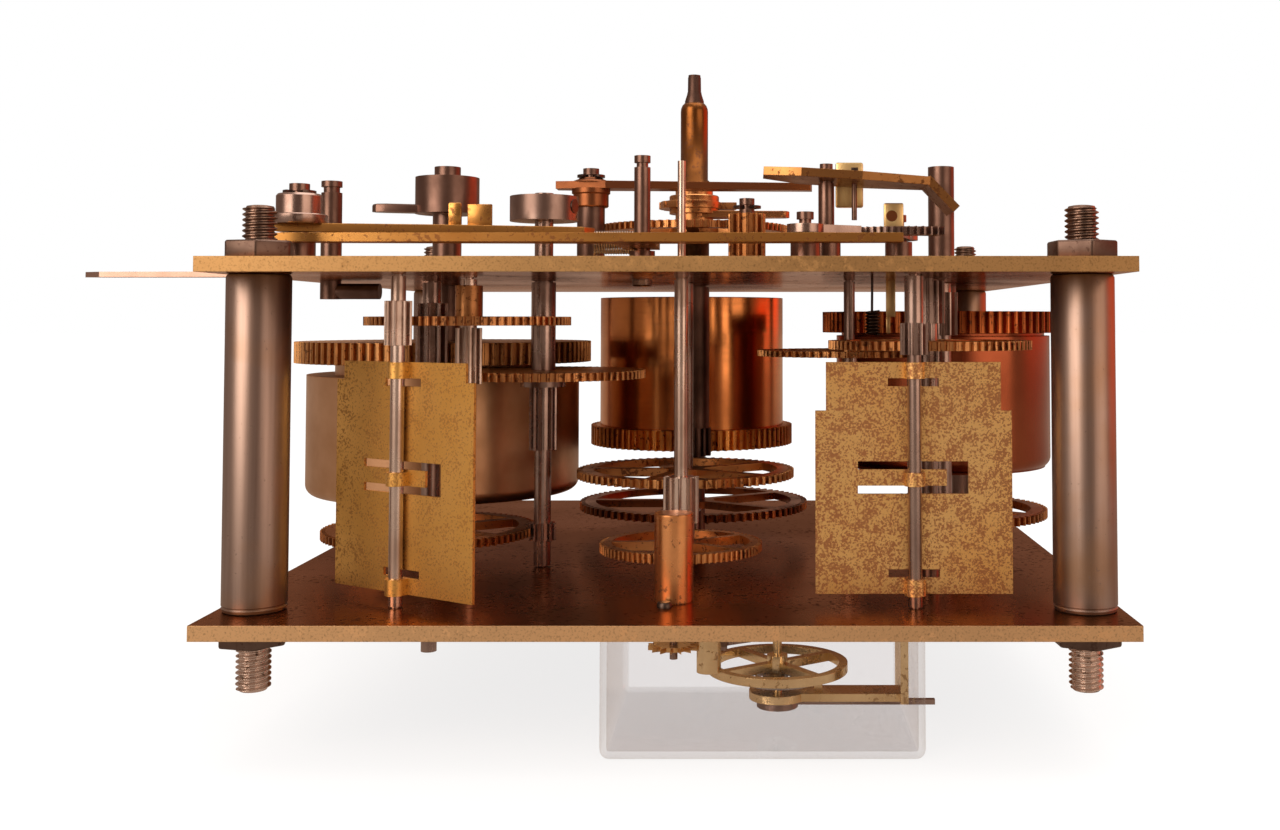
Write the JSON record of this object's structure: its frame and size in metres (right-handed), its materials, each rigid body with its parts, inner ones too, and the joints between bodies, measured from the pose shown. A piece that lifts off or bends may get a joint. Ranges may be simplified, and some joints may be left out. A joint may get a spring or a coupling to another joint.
{
  "type": "chime clock movement",
  "caption": "Chiming clock movement: two brass plates on pillars hold three wheel trains with flies, motion work, levers and a boxed balance.",
  "frame": {"origin": "middle of the four front studs, on the outer face of the front plate", "axes": "+Z towards the dial, along every arbor; +X towards the strike side; +Y from the 12 o'clock edge to the 6 o'clock edge"},
  "size_m": [0.2088, 0.128, 0.1116],
  "materials": {
    "polished_plate": "dark polished brass plates with tan sawn edges",
    "nickelled_pillar": "pinkish nickelled pillars",
    "steel": "turned and polished steel",
    "aged_brass": "aged brass with brown mottling",
    "cream_brass": "pale lacquered brass drums",
    "sheet_brass": "mottled sheet brass",
    "dark_brass": "dark reddish brass",
    "bright_brass": "bright yellow brass",
    "clear_plastic": "clear plastic cover",
    "blued_spring": "spring steel"
  },
  "bodies": {
    "frame": {"front_plate": "polished_plate", "back_plate": "polished_plate", "pillars": "nickelled_pillar", "studs": "steel", "nuts": "steel", "ratchet_clicks": "steel", "escape_sleeve": "bright_brass", "escapement_base": "bright_brass", "hairspring": "blued_spring", "balance_bracket": "bright_brass", "clear_box": "clear_plastic", "lever_posts": "steel"},
    "chime_barrel": {"chime_drum": "cream_brass", "chime_great_wheel": "aged_brass"},
    "chime_winding": {"chime_winding_arbor": "steel"},
    "chime_second": {"chime_second_arbor": "steel", "chime_second_wheel": "aged_brass"},
    "chime_third": {"chime_third_arbor": "steel", "chime_third_wheel": "aged_brass"},
    "chime_fourth": {"chime_fourth_arbor": "steel", "chime_fourth_wheel": "aged_brass"},
    "chime_fly": {"chime_fly_arbor": "steel", "chime_fly": "sheet_brass"},
    "strike_barrel": {"strike_drum": "cream_brass", "strike_great_wheel": "aged_brass"},
    "strike_winding": {"strike_winding_arbor": "steel"},
    "strike_second": {"strike_second_arbor": "steel", "strike_second_wheel": "aged_brass"},
    "strike_third": {"strike_third_arbor": "steel", "strike_third_wheel": "aged_brass"},
    "strike_fourth": {"strike_fourth_arbor": "steel", "strike_fourth_wheel": "aged_brass"},
    "strike_fly": {"strike_fly_arbor": "steel", "strike_fly": "sheet_brass"},
    "time_barrel": {"time_drum": "aged_brass", "time_great_wheel": "aged_brass"},
    "time_winding": {"time_winding_arbor": "steel"},
    "centre": {"centre_arbor": "steel", "centre_wheel": "dark_brass", "cannon_pinion": "bright_brass"},
    "time_third": {"time_third_arbor": "steel", "time_third_wheel": "aged_brass"},
    "seconds": {"seconds_arbor": "steel", "seconds_wheel": "aged_brass"},
    "escape": {"escape_arbor": "steel", "escape_wheel": "bright_brass"},
    "minute_wheel": {"minute_wheel": "aged_brass"},
    "hour_wheel": {"hour_wheel": "aged_brass"},
    "pallet": {"pallet_lever": "steel"},
    "balance": {"balance_wheel": "bright_brass"},
    "regulator": {"regulator": "steel"},
    "warning_lever": {"warning_lever": "sheet_brass"},
    "release_lever": {"release_lever": "sheet_brass"},
    "lifting_lever": {"lifting_lever": "dark_brass"},
    "strike_plate": {"strike_plate": "sheet_brass"},
    "rack": {"rack": "steel"},
    "rack_hook": {"rack_hook": "steel"},
    "locking_arm": {"locking_arm": "steel"},
    "selector": {"selector_lever": "steel"}
  },
  "joints": [
    {"name": "chime_barrel_turn", "type": "hinge", "parent": "frame", "child": "chime_barrel", "pos_m": [-0.0483, 0.012, -0.015], "axis": [0, 0, 1], "continuous": true},
    {"name": "chime_winding_turn", "type": "hinge", "parent": "frame", "child": "chime_winding", "pos_m": [-0.0483, 0.012, 0.001], "axis": [0, 0, 1], "continuous": true},
    {"name": "chime_second_turn", "type": "hinge", "parent": "frame", "child": "chime_second", "pos_m": [-0.04389, -0.01784, -0.045], "axis": [0, 0, 1], "continuous": true},
    {"name": "chime_third_turn", "type": "hinge", "parent": "frame", "child": "chime_third", "pos_m": [-0.02419, -0.01925, -0.018], "axis": [0, 0, 1], "continuous": true},
    {"name": "chime_fourth_turn", "type": "hinge", "parent": "frame", "child": "chime_fourth", "pos_m": [-0.03356, -0.03588, -0.009], "axis": [0, 0, 1], "continuous": true},
    {"name": "chime_fly_turn", "type": "hinge", "parent": "frame", "child": "chime_fly", "pos_m": [-0.04056, -0.05207, -0.032], "axis": [0, 0, 1], "continuous": true},
    {"name": "strike_barrel_turn", "type": "hinge", "parent": "frame", "child": "strike_barrel", "pos_m": [0.0493, 0.012, -0.009], "axis": [0, 0, 1], "continuous": true},
    {"name": "strike_winding_turn", "type": "hinge", "parent": "frame", "child": "strike_winding", "pos_m": [0.0493, 0.012, 0.001], "axis": [0, 0, 1], "continuous": true},
    {"name": "strike_second_turn", "type": "hinge", "parent": "frame", "child": "strike_second", "pos_m": [0.04579, -0.01301, -0.042], "axis": [0, 0, 1], "continuous": true},
    {"name": "strike_third_turn", "type": "hinge", "parent": "frame", "child": "strike_third", "pos_m": [0.02858, -0.02263, -0.014], "axis": [0, 0, 1], "continuous": true},
    {"name": "strike_fourth_turn", "type": "hinge", "parent": "frame", "child": "strike_fourth", "pos_m": [0.04048, -0.03544, -0.013], "axis": [0, 0, 1], "continuous": true},
    {"name": "strike_fly_turn", "type": "hinge", "parent": "frame", "child": "strike_fly", "pos_m": [0.03599, -0.05244, -0.032], "axis": [0, 0, 1], "continuous": true},
    {"name": "time_barrel_turn", "type": "hinge", "parent": "frame", "child": "time_barrel", "pos_m": [-0.00101, 0.03595, -0.033], "axis": [0, 0, 1], "continuous": true},
    {"name": "time_winding_turn", "type": "hinge", "parent": "frame", "child": "time_winding", "pos_m": [-0.00101, 0.03595, 0.001], "axis": [0, 0, 1], "continuous": true},
    {"name": "centre_turn", "type": "hinge", "parent": "frame", "child": "centre", "pos_m": [0.0005, 0.012, -0.044], "axis": [0, 0, 1], "continuous": true},
    {"name": "time_third_turn", "type": "hinge", "parent": "frame", "child": "time_third", "pos_m": [0.00016, -0.01239, -0.036], "axis": [0, 0, 1], "continuous": true},
    {"name": "seconds_turn", "type": "hinge", "parent": "frame", "child": "seconds", "pos_m": [0.00049, -0.03368, -0.045], "axis": [0, 0, 1], "continuous": true},
    {"name": "escape_turn", "type": "hinge", "parent": "frame", "child": "escape", "pos_m": [0.0002, -0.04775, -0.058], "axis": [0, 0, 1], "continuous": true},
    {"name": "minute_wheel_turn", "type": "hinge", "parent": "frame", "child": "minute_wheel", "pos_m": [0.011, -0.00619, 0.0016], "axis": [0, 0, 1], "continuous": true},
    {"name": "hour_wheel_turn", "type": "hinge", "parent": "frame", "child": "hour_wheel", "pos_m": [0.0005, 0.012, 0.009], "axis": [0, 0, 1], "continuous": true},
    {"name": "pallet_rock", "type": "hinge", "parent": "frame", "child": "pallet", "pos_m": [0.0076, -0.0448, -0.058], "axis": [0, 0, 1], "range_deg": [-4, 4]},
    {"name": "balance_swing", "type": "hinge", "parent": "frame", "child": "balance", "pos_m": [0.0159, -0.041, -0.062], "axis": [0, 0, 1], "range_deg": [-170, 170], "stiffness_Nm_per_rad": 0.000001},
    {"name": "regulator_turn", "type": "hinge", "parent": "frame", "child": "regulator", "pos_m": [0.0159, -0.041, -0.068], "axis": [0, 0, 1], "range_deg": [-6, 6]},
    {"name": "warning_lever_turn", "type": "hinge", "parent": "frame", "child": "warning_lever", "pos_m": [-0.061, -0.036, 0.006], "axis": [0, 0, 1], "range_deg": [-2, 3]},
    {"name": "release_lever_turn", "type": "hinge", "parent": "frame", "child": "release_lever", "pos_m": [-0.0069, -0.022, 0.004], "axis": [0, 0, 1], "range_deg": [0, 3.5]},
    {"name": "lifting_lever_turn", "type": "hinge", "parent": "frame", "child": "lifting_lever", "pos_m": [-0.0183, -0.001, 0.016], "axis": [0, 0, 1], "range_deg": [-4, 4]},
    {"name": "strike_plate_turn", "type": "hinge", "parent": "frame", "child": "strike_plate", "pos_m": [0.0245, -0.026, 0.015], "axis": [0, 0, 1], "range_deg": [-6, 6]},
    {"name": "rack_turn", "type": "hinge", "parent": "frame", "child": "rack", "pos_m": [0.038, -0.014, 0.006], "axis": [0, 0, 1], "range_deg": [0, 12]},
    {"name": "rack_hook_turn", "type": "hinge", "parent": "frame", "child": "rack_hook", "pos_m": [0.0206, -0.0344, 0.006], "axis": [0, 0, 1], "range_deg": [-10, 0]},
    {"name": "locking_arm_turn", "type": "hinge", "parent": "frame", "child": "locking_arm", "pos_m": [-0.0606, -0.021, -0.001], "axis": [0, 0, 1], "range_deg": [-20, 20]},
    {"name": "selector_turn", "type": "hinge", "parent": "frame", "child": "selector", "pos_m": [-0.052, 0.044, 0.001], "axis": [0, 0, 1], "range_deg": [-3, 6]}
  ],
  "couplings": [
    {"joint": "chime_third_turn", "follows": "chime_fourth_turn", "ratio": -0.10256},
    {"joint": "chime_second_turn", "follows": "chime_fourth_turn", "ratio": 0.011538},
    {"joint": "chime_barrel_turn", "follows": "chime_fourth_turn", "ratio": -0.00096154},
    {"joint": "chime_fly_turn", "follows": "chime_fourth_turn", "ratio": -9.5},
    {"joint": "strike_third_turn", "follows": "strike_fourth_turn", "ratio": -0.14062},
    {"joint": "strike_second_turn", "follows": "strike_fourth_turn", "ratio": 0.01582},
    {"joint": "strike_barrel_turn", "follows": "strike_fourth_turn", "ratio": -0.001582},
    {"joint": "strike_fly_turn", "follows": "strike_fourth_turn", "ratio": -9.25},
    {"joint": "centre_turn", "follows": "time_third_turn", "ratio": -0.125},
    {"joint": "time_barrel_turn", "follows": "time_third_turn", "ratio": 0.017857},
    {"joint": "seconds_turn", "follows": "time_third_turn", "ratio": -7.5},
    {"joint": "escape_turn", "follows": "time_third_turn", "ratio": 75},
    {"joint": "minute_wheel_turn", "follows": "time_third_turn", "ratio": 0.0625},
    {"joint": "hour_wheel_turn", "follows": "time_third_turn", "ratio": -0.010417}
  ]
}
